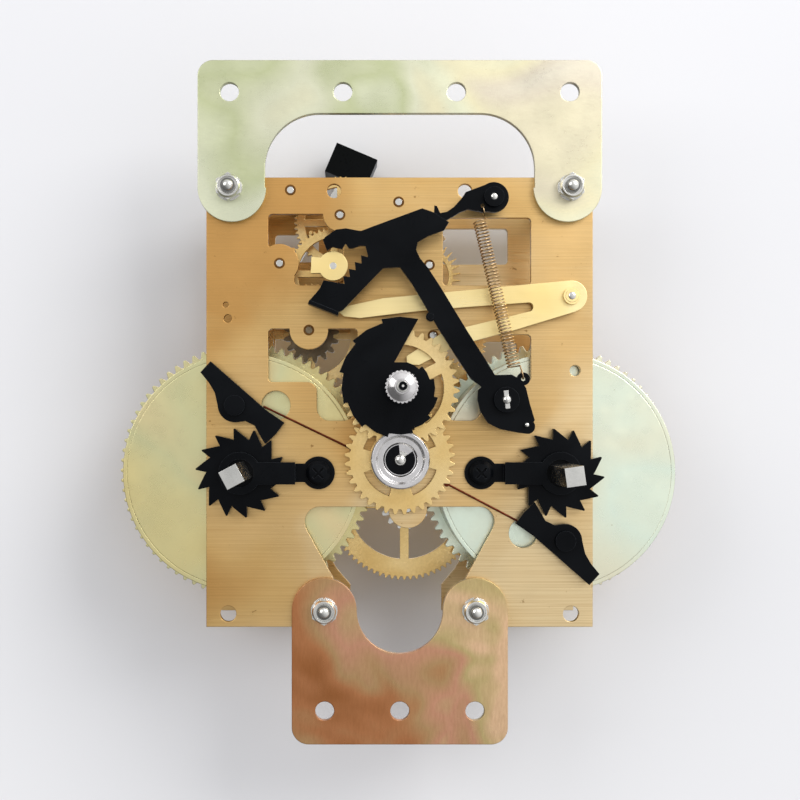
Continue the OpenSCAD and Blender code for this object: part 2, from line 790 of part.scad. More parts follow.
// Second wheel of the strike train, with the eight hammer pins behind it
hammer_pins = 8;
hammer_pin_ring = 11.6;
module strike_second_wheel() {
    y = inner_y + second_level;
    color(brass) {
        wheel(strike_second, 0, strike_second_at, y, wheel_t, wheel_seat_r, 4, hub_r, 2.6);
        for (i = [0:hammer_pins - 1]) {
            a = 22.5 + i * 360 / hammer_pins;
            rod(strike_second_at + hammer_pin_ring * [cos(a), sin(a)], 0.6,
                y + wheel_t - 0.2, y + wheel_t + 1.6);
        }
    }
}

// Gathering arbor: its front pivot runs on through the plate to the pallet
pallet_out = rack_out - 0.4;
module gathering_arbor() {
    color(steel) {
        arbor(gather_at, gather_pinion, gather_phase, inner_y + second_level - 0.3,
            wheel_t + 0.6, inner_y + gather_level - 0.5, wheel_t + 1);
        rod(gather_at, pivot_r, face_y - pallet_out, face_y);
    }
}
module gathering_wheel() {
    color(brass) wheel(gather, 0, gather_at, inner_y + gather_level, wheel_t,
        wheel_seat_r, 4, hub_r, 1.9);
}

// Gathering pallet: brass disc and tail, turning just behind the rack
pallet_r = 3.4;
module gathering_pallet() {
    color(pale_brass) slab(face_y - pallet_out, face_y - pallet_out + 1.5)
        translate(gather_at) difference() {
            union() {
                circle(r = pallet_r);
                rotate(178) polygon([[0, -1.6], [5.1, -1.9], [5.1, 1.9], [0, 1.6]]);
            }
            circle(r = pivot_r);
        }
}

module warning_arbor() {
    color(steel) arbor(warning_at, warning_pinion, warning_phase,
        inner_y + gather_level - 0.3, wheel_t + 0.6, inner_y + warning_level - 0.5,
        wheel_t + 1);
}
module warning_wheel() {
    y = inner_y + warning_level;
    color(brass) {
        wheel(warning, 0, warning_at, y, wheel_t, wheel_seat_r, 4, hub_r, 1.9);
        rod(warning_at + 7.8 * [cos(200), sin(200)], 0.5, y - 1.6, y + 0.2);
    }
}

module fly_arbor() {
    color(steel) arbor(fly_at, fly_pinion, fly_phase, inner_y + warning_level - 0.3,
        wheel_t + 0.6, inner_y + warning_level + 3.6, 8);
}
// Fan with two flat blades folded from one strip
fan_half = 8.6;
module fly_fan() {
    y = inner_y + warning_level + 3;
    color(brass) difference() {
        union() {
            rod(fly_at, 2.1, y, y + 9);
            slab(y, y + 9) translate(fly_at) rotate(8)
                translate([-fan_half, -0.3]) square([2 * fan_half, 0.6]);
        }
        rod(fly_at, wheel_seat_r, y - 1, y + 10);
    }
}

module time_second_arbor() {
    color(steel) arbor(time_second_at, time_second_pinion, time_second_phase,
        inner_y + great_level - 0.2, great_t + 0.4, inner_y + second_level - 0.6, 1.8);
}
module time_second_wheel() {
    color(brass) wheel(time_second, 0, time_second_at, inner_y + second_level, wheel_t,
        wheel_seat_r, 4, hub_r + 1, 4.4);
}
module third_arbor() {
    color(steel) arbor(third_at, third_pinion, third_phase, inner_y + second_level - 0.3,
        wheel_t + 0.6, inner_y + third_level - 0.4, wheel_t + 0.8);
}
module third_wheel() {
    color(brass) wheel(third, 0, third_at, inner_y + third_level, wheel_t,
        wheel_seat_r, 4, hub_r, 2.6);
}
module fourth_arbor() {
    color(steel) arbor(fourth_at, fourth_pinion, fourth_phase,
        inner_y + third_level - 0.3, wheel_t + 0.6, inner_y + fourth_level - 0.3,
        wheel_t + 0.7);
}
module fourth_wheel() {
    color(brass) wheel(fourth, 0, fourth_at, inner_y + fourth_level, wheel_t,
        wheel_seat_r, 4, hub_r, 2.4);
}
module escape_arbor() {
    color(steel) arbor(escape_at, escape_pinion, escape_phase,
        inner_y + fourth_level - 0.3, wheel_t + 0.6, inner_y + escape_level - 0.4,
        wheel_t + 0.8);
}

// Escape wheel: thirty long leaning teeth on a thin rim
escape_r = 9.3;
escape_teeth = 30;
module escape_wheel() {
    y = inner_y + escape_level;
    color(brass) slab(y, y + wheel_t) translate(escape_at) difference() {
        polygon([for (i = [0:escape_teeth - 1]) for (k = [0:3])
            let(a = (i + [0, 0.32, 0.42, 0.5][k]) * 360 / escape_teeth,
                r = [escape_r - 2, escape_r, escape_r, escape_r - 2][k])
            [r * cos(a), r * sin(a)]]);
        circle(r = wheel_seat_r);
        difference() {
            circle(r = escape_r - 3.1);
            circle(r = hub_r - 0.4);
            for (i = [0:3]) rotate(45 + 90 * i) translate([0, -0.8]) square([8, 1.6]);
        }
    }
}

// Anchor: arms that reach over the escape wheel, with two pallets
module anchor() {
    y = inner_y + escape_level;
    clear = escape_r + open_gap;
    toward = angle_to(anchor_at, escape_at);
    span = norm(escape_at - anchor_at);
    color(steel) {
        rod(anchor_at, pivot_r, face_y, back_y + crutch_back + 1);
        rod(anchor_at, shaft_r, inner_y + end_gap, rear_y - end_gap);
        rod(anchor_at, 2.4, y - 0.6, y + wheel_t + 0.6);
        slab(y, y + wheel_t) translate(anchor_at) rotate(toward) difference() {
            union() {
                for (side = [-1, 1])
                    polygon([[-1, side * 2], [3, side * 3], [7.8, side * 8.4],
                        [10.6, side * 9.2], [11.4, side * 7.4], [8.4, side * 5.4],
                        [4.4, side * 0.6], [-1, 0]]);
                circle(r = 3);
            }
            translate([span, 0]) circle(r = clear + 0.35);
            circle(r = shaft_r - 0.2);
        }
    }
}
crutch_back = 4;

// Crutch: strip and fork behind the back plate, fixed to the anchor's arbor
module crutch() {
    front = back_y + crutch_back - 1.2;
    color(brass) {
        slab(front, front + 1.2) translate(anchor_at) difference() {
            union() {
                circle(r = 1.9);
                translate([-1.2, -52]) square([2.4, 51]);
            }
            circle(r = pivot_r);
        }
        for (side = [-1, 1])
            translate([anchor_at[0] + side * 1.6 - 0.6, front, anchor_at[1] - 53])
                cube([1.2, 6.2, 1.6]);
    }
}

// Hammer arbor with its tail near the pins and its lever behind the back plate
hammer_head_at = [-11.6, 58.5];
hammer_head_turn = 67;
module hammer_arbor() {
    y = inner_y + second_level + wheel_t;
    toward = angle_to(hammer_at, strike_second_at);
    rise = angle_to(hammer_at, hammer_head_at);
    reach = norm(hammer_head_at - hammer_at);
    tail = norm(strike_second_at - hammer_at) - hammer_pin_ring - 0.6 - open_gap;
    lever_y = back_y + 1.2;
    color(steel) {
        rod(hammer_at, pivot_r, face_y, lever_y + 1.6);
        rod(hammer_at, shaft_r, inner_y + end_gap, rear_y - end_gap);
        slab(y + 0.4, y + 1.5) translate(hammer_at) union() {
            circle(r = 2.2);
            rotate(toward) translate([0, -0.9]) square([tail, 1.8]);
        }
        slab(lever_y, lever_y + 1.6) translate(hammer_at) union() {
            circle(r = 2.6);
            rotate(rise) translate([0, -1]) square([reach - 3, 2]);
        }
    }
}

// Black striking block at the end of the hammer lever
module hammer_head() {
    rise = angle_to(hammer_at, hammer_head_at);
    lever_y = back_y + 1.2;
    color(black) translate([hammer_head_at[0], 0, hammer_head_at[1]]) difference() {
        rotate([0, -hammer_head_turn, 0]) translate([-4, lever_y - 4, -5.7])
            cube([8, 9, 11.4]);
        rotate([0, -rise, 0]) translate([-6, lever_y, -1]) cube([3.02, 1.6, 2]);
    }
}

// Rack: head with teeth in a notch, arm, pin for the snail and a broad tail at the pivot
rack_pin = [6.9, 16.4];
rack_tooth_r = norm(gather_at - rack_at) - pallet_r;
rack_teeth = 4;
rack_tooth_angle = 2.56;
function rack_point(r, a) = rack_at + r * [cos(a), sin(a)];
function rack_edge() = concat(
    [for (i = [0:rack_teeth - 1]) for (k = [0, 1])
        rack_point(rack_tooth_r - 1.4 * (1 - k), 144.4 - rack_tooth_angle * (i + 0.62 * k))],
    [rack_point(rack_tooth_r - 1.4, 144.4 - rack_tooth_angle * rack_teeth)]);
spring_low = [28.3, 2];
spring_high = [19.1, 42.4];
module rack() {
    front = face_y - rack_out - lever_t;
    color(black) difference() {
        union() {
            slab(front, front + lever_t) {
                polygon(concat([[7.7, 40.4], [11.1, 38.2], [10, 36.4], [6.3, 35], [3.9, 33.6],
                    [3.5, 31.8], [4.4, 29.9], [6.3, 27.6], [9.3, 23], [12.5, 17.7], [15.5, 12.8],
                    [19.6, 6.4], [21.7, 2.9], [20.2, -1], [16.2, 2], [12.7, 7.3], [9, 13.1],
                    [6.7, 17], [2.6, 23.9], [-0.2, 27.8], [-4.1, 27.6], [-8.1, 23.5],
                    [-13.4, 17.9], [-14.5, 17.4], [-21.2, 20.1], [-19.8, 21.6], [-18.7, 23],
                    [-17.9, 24.8], [-14.6, 24.2]], rack_edge(),
                    [[-7.6, 30.5], [-8.2, 32.8], [-9.4, 32.8], [-11.1, 32.2], [-12, 32.2],
                    [-12.8, 33.3], [-13.6, 32], [-15.7, 32.5], [-17.1, 31.7], [-18, 34.1],
                    [-17.5, 34.8], [-15, 36.5], [-12.7, 36.8], [-10.1, 36.3], [-9.2, 36.2],
                    [-2.5, 38.7], [4.9, 41.4], [6.7, 40.8]]));
                polygon([[21.7, 2.9], [25.6, 3], [27.7, 1.8], [28.9, -0.1], [29.8, -3.8],
                    [30.9, -7.5], [29.3, -10.7], [27.5, -10.5], [22.9, -9.6], [20.1, -8.2],
                    [18.3, -5.4], [17.7, -2.9], [17.8, -0.6]]);
                circle_at(spring_low, 1.5);
                circle_at([29.3, -9], 1.7);
                circle_at(rack_pin, 1.1);
            }
            rod(rack_at, 3, front, face_y - rack_out + lever_t);
            rod(rack_pin, 0.7, front - 0.6, face_y - snail_out - 0.1);
            rod([29, -8.6], 0.6, front - 0.8, front + 0.2);
            slab(front - 0.1, front + 3.6) translate([-21.5, 19.4]) rotate(-22)
                square([7.4, 0.9]);
        }
        rod(rack_at, post_r + run_gap, front - 2, face_y);
        rod(spring_low, 0.5, front - 1, face_y);
    }
}

// Rack hook: pivots at the top right and drops its beak behind the rack's head
module rack_hook() {
    front = face_y - hook_out - lever_t;
    color(black) difference() {
        slab(front, front + lever_t) union() {
            circle_at(hook_at, 3.5);
            circle_at(spring_high, 1.5);
            polygon([[21.7, 41], [21.7, 47.8], [20.3, 47.5], [17.6, 46.5], [15.2, 45.6],
                [14.1, 44], [12.4, 42.1], [10.8, 41], [9.2, 40.7], [8.5, 42.3], [7.9, 42.5],
                [7.7, 38.6], [10.8, 39.1], [12.2, 39.9], [13.8, 40.9], [15.7, 41.6],
                [17.6, 41.2]]);
        }
        rod(hook_at, post_r + run_gap, front - 2, face_y);
        rod(spring_high, 0.5, front - 1, face_y);
    }
}

// Brass forked lever that the cam raises; its fork opens to the left
module lifting_lever() {
    front = face_y - lever_out - lever_t;
    fork = [30.4, 19.2];
    color(pale_brass) difference() {
        slab(front, front + lever_t) difference() {
            union() {
                circle_at(lift_at, 3.7);
                polygon([[40.4, 25.5], [-4, 21.3], [-12.2, 19.5], [-14.4, 18], [-13.2, 17],
                    [-9.4, 16.6], [4.7, 18.3], [15.6, 19.2], [30.4, 20.3], [30.4, 18.1],
                    [15.6, 14.5], [9.5, 12.8], [1.5, 7.6], [1.7, 5.7], [4.5, 5.5],
                    [12, 9.4], [18.2, 11.4], [26.5, 13.6], [41.6, 18.2]]);
            }
            circle_at(fork, 1.1);
        }
        rod(lift_at, post_r + run_gap, front - 2, face_y);
    }
}

// Tension spring: its end wires run in line from the rack hook's hole to the rack's hole,
// and its coil hangs to the left of that line by one coil radius
spring_from = [spring_high[0], face_y - hook_out - lever_t / 2, spring_high[1]];
spring_to = [spring_low[0], face_y - rack_out - lever_t / 2, spring_low[1]];
spring_run = norm(spring_to - spring_from);
axis_dir = (spring_to - spring_from) / spring_run;
side_dir = unit([0, 1, 0] - axis_dir[1] * axis_dir);
cross_dir = cross(axis_dir, side_dir);
spring_loop_r = 1.1;
spring_lead = 3.2;
spring_steps = 8;
function unit(v) = v / norm(v);

// Point of the spring's centre line: distance along, radius and angle about its axis
function on_spring(s, r, a) =
    spring_from + s * axis_dir + r * cos(a) * side_dir + r * sin(a) * cross_dir;
// Hook in the plane across both plates, drawn through the hole at its far side
function hook_point(t) = [spring_loop_r * (1 - cos(t)), spring_loop_r * sin(t)];
spring_path = concat(
    [for (t = [-130:20:150]) on_spring(hook_point(t)[0], hook_point(t)[1], 0)],
    [on_spring(spring_lead - 0.4, 0.2, 0)],
    [for (i = [0:spring_steps * spring_curls]) on_spring(
        spring_lead + (spring_run - 2 * spring_lead) * i / spring_steps / spring_curls,
        spring_coil_r, 90 + 360 * i / spring_steps) - spring_coil_r * cross_dir],
    [on_spring(spring_run - spring_lead + 0.4, -0.2, 0)],
    [for (t = [-150:20:130]) on_spring(spring_run - hook_point(t)[0], hook_point(t)[1], 0)]);
path_n = len(spring_path);
path_dir = [for (i = [0:path_n - 1])
    unit(spring_path[min(i + 1, path_n - 1)] - spring_path[max(i - 1, 0)])];
// Reference side of each ring, carried along the path without twist
ring_side = [for (i = 0, u = unit(cross(path_dir[0], cross_dir)); i < path_n; i = i + 1,
    u = i < path_n ? unit(u - (u * path_dir[i]) * path_dir[i]) : u) u];
ring_n = 6;
tube_points = [for (i = [0:path_n - 1]) for (k = [0:ring_n - 1])
    spring_path[i] + spring_wire_r * (cos(k * 60) * ring_side[i]
        + sin(k * 60) * cross(path_dir[i], ring_side[i]))];
tube_faces = concat([[for (k = [0:ring_n - 1]) k]],
    [for (i = [0:path_n - 2]) for (k = [0:ring_n - 1])
        let(a = i * ring_n + k, b = i * ring_n + (k + 1) % ring_n) [a, a + ring_n, b]],
    [for (i = [0:path_n - 2]) for (k = [0:ring_n - 1])
        let(a = i * ring_n + k, b = i * ring_n + (k + 1) % ring_n) [b, a + ring_n, b + ring_n]],
    [[for (k = [ring_n - 1:-1:0]) (path_n - 1) * ring_n + k]]);
// Least gap of the wire to itself, measured between points at least half a curl apart
spring_gap = min([for (i = [0:path_n - 5]) min([for (j = [i + 4:min(i + 14, path_n - 1)])
    norm(spring_path[i] - spring_path[j])])]) - 2 * spring_wire_r;
echo(spring_curls = spring_curls, spring_least_gap_mm = spring_gap);

module tension_spring() {
    color(blued) polyhedron(points = tube_points, faces = tube_faces);
}

front_plate();
back_plate();
pillars();
pillar_nuts();
upper_bracket();
lower_bracket();
left_bridge();
right_bridge();
bridge_screws();
click_studs();
click_springs();
lever_studs();
minute_wheel_post();
suspension_cock();
left_winding_arbor();
right_winding_arbor();
left_ratchet();
right_ratchet();
left_click();
right_click();
strike_barrel();
time_barrel();
strike_barrel_cap();
time_barrel_cap();
strike_mainspring();
time_mainspring();
minute_arbor();
lifting_cam();
hour_wheel();
hour_pipe();
snail();
minute_wheel();
minute_pinion();
clutch_cup();
strike_second_arbor();
strike_second_wheel();
gathering_arbor();
gathering_wheel();
gathering_pallet();
warning_arbor();
warning_wheel();
fly_arbor();
fly_fan();
time_second_arbor();
time_second_wheel();
third_arbor();
third_wheel();
fourth_arbor();
fourth_wheel();
escape_arbor();
escape_wheel();
anchor();
crutch();
hammer_arbor();
hammer_head();
rack();
rack_hook();
lifting_lever();
tension_spring();
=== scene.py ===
# Looks of the striking clock movement: finishes, small fasteners, tension spring, floor,
# camera and light. The frame is in metres; a length in millimetres is multiplied by MM.
import json
import math
import bpy
import bmesh
from mathutils import Matrix, Vector


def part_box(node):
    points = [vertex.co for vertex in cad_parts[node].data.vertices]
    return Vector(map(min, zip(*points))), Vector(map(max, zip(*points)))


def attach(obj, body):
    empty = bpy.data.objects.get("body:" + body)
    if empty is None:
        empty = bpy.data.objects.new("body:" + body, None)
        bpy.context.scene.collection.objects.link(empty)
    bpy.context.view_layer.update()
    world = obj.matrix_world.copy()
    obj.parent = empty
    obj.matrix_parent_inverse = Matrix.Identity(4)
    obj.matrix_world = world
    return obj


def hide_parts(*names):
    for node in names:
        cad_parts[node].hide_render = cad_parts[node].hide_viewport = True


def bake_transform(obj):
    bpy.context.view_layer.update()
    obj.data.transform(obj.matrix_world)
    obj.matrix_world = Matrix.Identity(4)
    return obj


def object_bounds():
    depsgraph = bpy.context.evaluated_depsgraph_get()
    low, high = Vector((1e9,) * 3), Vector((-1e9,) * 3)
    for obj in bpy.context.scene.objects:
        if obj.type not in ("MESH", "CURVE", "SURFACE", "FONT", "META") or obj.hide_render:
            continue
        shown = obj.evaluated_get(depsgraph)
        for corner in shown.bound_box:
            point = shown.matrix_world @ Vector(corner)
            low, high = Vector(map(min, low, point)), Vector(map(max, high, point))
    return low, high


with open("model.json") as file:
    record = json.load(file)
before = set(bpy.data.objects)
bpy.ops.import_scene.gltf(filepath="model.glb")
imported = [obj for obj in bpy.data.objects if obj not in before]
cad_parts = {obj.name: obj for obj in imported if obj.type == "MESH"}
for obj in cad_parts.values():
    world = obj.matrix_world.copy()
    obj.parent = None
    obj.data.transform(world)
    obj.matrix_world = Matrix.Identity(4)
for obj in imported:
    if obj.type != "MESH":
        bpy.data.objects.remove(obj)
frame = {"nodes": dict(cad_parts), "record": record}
cad_box = [list(v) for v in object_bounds()]
nodes = frame["nodes"]
record = frame["record"]
MM = 0.001


def srgb(r, g, b):
    out = []
    for c in (r, g, b):
        c = c / 255
        out.append(c / 12.92 if c <= 0.04045 else ((c + 0.055) / 1.055) ** 2.4)
    return (*out, 1.0)


def palette(*levels):
    return [srgb(*level) for level in levels]


def darker(tone, share):
    return (*(c * share for c in tone[:3]), 1.0)


def paler(tone, share):
    return (*(min(1.0, c * share) for c in tone[:3]), 1.0)


# Where a noise's values mostly lie
NOISE_LOW, NOISE_HIGH = 0.3, 0.7
BEVEL_SAMPLES = 6
# Cosines between the face's own and its rounded normal where an edge begins and is complete
EDGE_BEGINS, EDGE_FULL = 0.98, 0.75


class Net:
    """A material's nodes, by short calls; every pattern is noise in the frame's metres"""

    def __init__(self, name):
        self.mat = bpy.data.materials.new(name)
        self.mat.use_nodes = True
        self.tree = self.mat.node_tree
        self.tree.nodes.clear()
        self.out = self.add("ShaderNodeOutputMaterial")
        self.bsdf = self.add("ShaderNodeBsdfPrincipled")
        self.link(self.bsdf.outputs[0], self.out.inputs[0])
        self.coord = self.add("ShaderNodeTexCoord").outputs["Object"]

    def add(self, kind):
        return self.tree.nodes.new(kind)

    def link(self, a, b):
        self.tree.links.new(a, b)

    def noise(self, scale, detail, stretch=(1, 1, 1), rough=0.55, distortion=0.0):
        m = self.add("ShaderNodeMapping")
        m.inputs["Scale"].default_value = stretch
        self.link(self.coord, m.inputs["Vector"])
        n = self.add("ShaderNodeTexNoise")
        n.inputs["Scale"].default_value = scale
        n.inputs["Detail"].default_value = detail
        n.inputs["Roughness"].default_value = rough
        n.inputs["Distortion"].default_value = distortion
        self.link(m.outputs[0], n.inputs["Vector"])
        return n.outputs[0]

    def ramp(self, fac, stops):
        r = self.add("ShaderNodeValToRGB")
        e = r.color_ramp.elements
        while len(e) < len(stops):
            e.new(0.5)
        for el, (at, col) in zip(e, stops):
            el.position = at
            el.color = col
        self.link(fac, r.inputs[0])
        return r.outputs[0]

    def level(self, fac, lo, hi, a, b):
        r = self.add("ShaderNodeMapRange")
        for k, v in zip(("From Min", "From Max", "To Min", "To Max"), (lo, hi, a, b)):
            r.inputs[k].default_value = v
        self.link(fac, r.inputs["Value"])
        return r.outputs[0]

    def along(self, axis):
        sep = self.add("ShaderNodeSeparateXYZ")
        self.link(self.coord, sep.inputs[0])
        return sep.outputs["XYZ".index(axis)]

    def mix(self, fac, a, b):
        m = self.add("ShaderNodeMix")
        m.data_type = "RGBA"
        for sock, v in ((m.inputs[0], fac), (m.inputs[6], a), (m.inputs[7], b)):
            if isinstance(v, tuple):
                sock.default_value = v
            else:
                self.link(v, sock)
        return m.outputs[2]

    def math(self, op, a, b):
        m = self.add("ShaderNodeMath")
        m.operation = op
        for sock, v in zip(m.inputs, (a, b)):
            if isinstance(v, (int, float)):
                sock.default_value = v
            else:
                self.link(v, sock)
        return m.outputs[0]

    def edge(self, radius):
        """1 near a sharp edge and 0 on a flat face, with the rounded normal"""
        bevel = self.add("ShaderNodeBevel")
        bevel.samples = BEVEL_SAMPLES
        bevel.inputs["Radius"].default_value = radius
        geo = self.add("ShaderNodeNewGeometry")
        dot = self.add("ShaderNodeVectorMath")
        dot.operation = "DOT_PRODUCT"
        self.link(bevel.outputs[0], dot.inputs[0])
        self.link(geo.outputs["Normal"], dot.inputs[1])
        near = self.level(dot.outputs["Value"], EDGE_BEGINS, EDGE_FULL, 0.0, 1.0)
        return near, bevel.outputs[0]

    def bump(self, height, strength, distance, normal=None):
        b = self.add("ShaderNodeBump")
        b.inputs["Strength"].default_value = strength
        b.inputs["Distance"].default_value = distance
        self.link(height, b.inputs["Height"])
        if normal is not None:
            self.link(normal, b.inputs["Normal"])
        return b.outputs[0]


def drift(n, tones, cloud, lean=(0, 0), spread=0.22):
    """Colours that drift over the part in soft clouds, and by lean per metre along X and Z"""
    fac = n.noise(cloud, 2.0, distortion=0.5)
    for axis, rate in zip("XZ", lean):
        if rate:
            fac = n.math("ADD", fac, n.math("MULTIPLY", n.along(axis), rate))
    last = len(tones) - 1
    return n.ramp(fac, [(0.5 - spread + 2 * spread * i / last, c) for i, c in enumerate(tones)])


# Finishing lines darken the first tone to a share, from this level of their noise on
LINES_BEGIN, LINE_SHADE = 0.35, 0.5
SPECK_SOFTNESS, SPECK_COVER = 0.05, 0.7
SPLIT_SOFTNESS = 0.02 * MM
# An edge without a tone of its own gets the last tone, made paler: a painted highlight
EDGE_PAINT_COVER, EDGE_HIGHLIGHT_PALER = 0.55, 1.3
# Roughness drifts below and above its middle in patches
PATCH_SCALE, SMOOTHER, ROUGHER = 90, 0.05, 0.06
GRAIN_SCALE, GRAIN_SHARE, BUMP_DEPTH = 5200, 0.5, 0.02 * MM


def metal(name, tones, rough, cloud=28, brush=(900, 900, 900), lines_dark=0.18, lines_rough=0.06,
          specks=None, edge_tone=None, bevel=0.14, bump=0.12, metallic=1.0, split=None,
          lean=(0, 0), specular=None):
    """tones drift over the part; brush stretches the fine finishing lines;
    specks is (threshold, tone, scale); split is (axis, place, tones beyond it);
    the edge tone is painted along the sharp edges, as painted shade where it is darker than
    the part and as a painted highlight where it is paler; the edges are shaded as if rounded by
    bevel"""
    n = Net(name)
    color = drift(n, tones, cloud, lean)
    if split:
        axis, place, beyond = split
        side = n.level(n.along(axis), place - SPLIT_SOFTNESS, place + SPLIT_SOFTNESS, 0.0, 1.0)
        color = n.mix(side, color, drift(n, beyond, cloud * 2))
    lines = n.noise(1.0, 4.0, brush, rough=0.6)
    grain = n.noise(GRAIN_SCALE, 2.0)
    drawn = n.level(lines, LINES_BEGIN, NOISE_HIGH, 0.0, lines_dark)
    color = n.mix(drawn, color, darker(tones[0], LINE_SHADE))
    if specks:
        at, tone, size = specks
        spots = n.noise(size, 3.0, rough=0.7)
        color = n.mix(n.level(spots, at, at + SPECK_SOFTNESS, 0.0, SPECK_COVER), color, tone)
    # Along the sharp edges a tone is painted over the colour: painted shade where that tone is
    # darker, a painted highlight where it is paler
    near, normal = n.edge(bevel * MM)
    color = n.mix(n.math("MULTIPLY", near, EDGE_PAINT_COVER), color,
                  edge_tone or paler(tones[-1], EDGE_HIGHLIGHT_PALER))
    n.link(color, n.bsdf.inputs["Base Color"])
    patch = n.noise(PATCH_SCALE, 3.0)
    r = n.math("ADD", n.level(patch, NOISE_LOW, NOISE_HIGH, rough - SMOOTHER, rough + ROUGHER),
               n.level(lines, NOISE_LOW, NOISE_HIGH, -lines_rough, lines_rough))
    n.link(r, n.bsdf.inputs["Roughness"])
    both = n.math("ADD", lines, n.math("MULTIPLY", grain, GRAIN_SHARE))
    n.link(n.bump(both, bump, BUMP_DEPTH, normal), n.bsdf.inputs["Normal"])
    n.bsdf.inputs["Metallic"].default_value = metallic
    if specular is not None:
        n.bsdf.inputs["Specular IOR Level"].default_value = specular
    return n.mat


BRUSHED_ALONG_X = (35, 35, 3800)
BRASS_WHEEL = palette((214, 176, 106), (232, 200, 136), (238, 210, 152))
# A barrel's drum is plated, and behind wheel_from lies its great wheel, of bare brass
GREAT_WHEEL_THICK = 2 * MM
wheel_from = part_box("strike_barrel")[1].y - GREAT_WHEEL_THICK
# The levers' posts are black, but for the brass lever's, which lies beyond this X
BRASS_POST_FROM = 35 * MM


def drum_zinc(name, tones):
    return metal(name, tones, 0.30, cloud=26, brush=(420, 420, 420), lines_dark=0.10,
                 specks=(0.72, srgb(150, 140, 96), 900), bump=0.10,
                 split=("Y", wheel_from, BRASS_WHEEL), edge_tone=srgb(128, 116, 76), bevel=0.28)


def bracket_zinc(name, tones, stain, **look):
    return metal(name, tones, 0.34, specks=(0.71, stain, 1100), bump=0.18, bevel=0.28, **look)


# One finish for each material slot of the record
finish = {
    # Edge tones darker than their part paint shade along its edges; paler ones paint a highlight
    "plate_brass": metal(
        "plate_brass", palette((196, 150, 88), (211, 174, 113), (216, 182, 126), (228, 204, 158)),
        0.36, cloud=24, brush=BRUSHED_ALONG_X, lines_dark=0.38, lines_rough=0.09,
        specks=(0.70, srgb(128, 90, 46), 420), bump=0.24, lean=(4.0, -1.2),
        edge_tone=srgb(150, 108, 58), bevel=0.26),
    "wheel_brass": metal(
        "wheel_brass", BRASS_WHEEL, 0.30, cloud=60, brush=(1500, 900, 1500),
        specks=(0.74, srgb(130, 94, 50), 700), edge_tone=srgb(150, 110, 56), bevel=0.2),
    "lever_brass": metal(
        "lever_brass", palette((238, 212, 144), (248, 228, 170)), 0.36, cloud=40,
        brush=(60, 900, 3000), lines_dark=0.08),
    "upper_zinc": bracket_zinc(
        "upper_zinc", palette((214, 216, 188), (190, 195, 153), (216, 216, 188), (216, 208, 174),
                              (204, 194, 174), (210, 204, 188)),
        stain=srgb(150, 146, 112), cloud=26, brush=(900, 300, 2200), lines_dark=0.20,
        lean=(3.0, 0), edge_tone=srgb(132, 124, 92)),
    "lower_zinc": bracket_zinc(
        "lower_zinc", palette((162, 104, 62), (184, 124, 82), (186, 150, 106), (206, 152, 122),
                              (196, 176, 122), (230, 192, 152)),
        stain=srgb(116, 82, 54), cloud=38, brush=(2200, 300, 500), lines_dark=0.24,
        lean=(8.0, 0), edge_tone=srgb(122, 84, 54)),
    "bright_steel": metal(
        "bright_steel", palette((196, 195, 190), (226, 224, 218)), 0.20, cloud=120,
        brush=(1800, 400, 1800), lines_dark=0.16, bevel=0.10, bump=0.08),
    # Its pale edges are partly real wear and partly a painted highlight
    "black_steel": metal(
        "black_steel", palette((2, 3, 5), (8, 10, 13)), 0.32, cloud=80, lines_dark=0.0,
        edge_tone=srgb(78, 82, 88), bevel=0.10, specks=(0.76, srgb(52, 50, 48), 900), bump=0.16,
        metallic=0.0, specular=0.07),
    "spring_wire": metal(
        "coil_wire", palette((150, 124, 92), (188, 164, 128)), 0.30, cloud=300, lines_dark=0.2,
        edge_tone=srgb(200, 184, 152), bevel=0.03, bump=0.05),
    "spring_steel": metal(
        "spring_steel", palette((60, 66, 86), (86, 84, 88)), 0.30, cloud=120,
        brush=(200, 3000, 200), bump=0.06),
    "nickel": metal(
        "turned_nickel", palette((190, 187, 186), (224, 221, 220)), 0.18, cloud=120,
        brush=(2200, 900, 2200), lines_dark=0.12, bump=0.10),
    "barrel_brass": drum_zinc(
        "golden_zinc", palette((214, 196, 136), (224, 210, 152), (212, 208, 160),
                               (228, 206, 156))),
}
pale_zinc = drum_zinc("pale_zinc", palette((226, 212, 182), (226, 224, 198), (220, 232, 214),
                                           (230, 232, 208)))
# Nodes whose finish differs from the rest of their slot
own_finish = {
    "click_springs": metal(
        "click_wire", palette((70, 30, 20), (104, 48, 30)), 0.35, cloud=300,
        edge_tone=srgb(120, 64, 42), bevel=0.03, bump=0.05),
    # The strike train's second arbor is a darker, browner steel than its slot
    "strike_second_arbor": metal(
        "dark_brown_steel", palette((96, 84, 66), (132, 118, 96)), 0.34, cloud=200),
    "strike_barrel_cap": finish["barrel_brass"],
    "time_barrel_cap": pale_zinc,
    "time_barrel": pale_zinc,
    "lever_studs": metal(
        "stud_collars", palette((14, 16, 20), (26, 28, 32)), 0.36, metallic=0.0,
        split=("X", BRASS_POST_FROM, [srgb(240, 212, 144)] * 2)),
}
for part in record["subparts"]:
    materials = nodes[part["node"]].data.materials
    materials.clear()
    materials.append(own_finish.get(part["node"], finish[part["material_slot"]]))


def shade_smooth(mesh):
    for f in mesh.polygons:
        f.use_smooth = True


def new_object(name, mesh, mat):
    mesh.materials.clear()
    mesh.materials.append(mat)
    o = bpy.data.objects.new(name, mesh)
    bpy.context.scene.collection.objects.link(o)
    return o


# Small fasteners that ride on the movement, in millimetres. A place is [x, z], and a depth is y.
SHARP_ANGLE = math.radians(35)
WELD = 0.0005 * MM
# What a dome has on its axis lies this far from it, near enough for the weld
AXIS_R = 0.001


def add_mesh(name, build, mat, body):
    bm = bmesh.new()
    build(bm)
    bmesh.ops.recalc_face_normals(bm, faces=bm.faces)
    mesh = bpy.data.meshes.new(name)
    bm.to_mesh(mesh)
    bm.free()
    shade_smooth(mesh)
    mesh.set_sharp_from_angle(angle=SHARP_ANGLE)
    o = new_object(name, mesh, mat)
    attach(o, body)


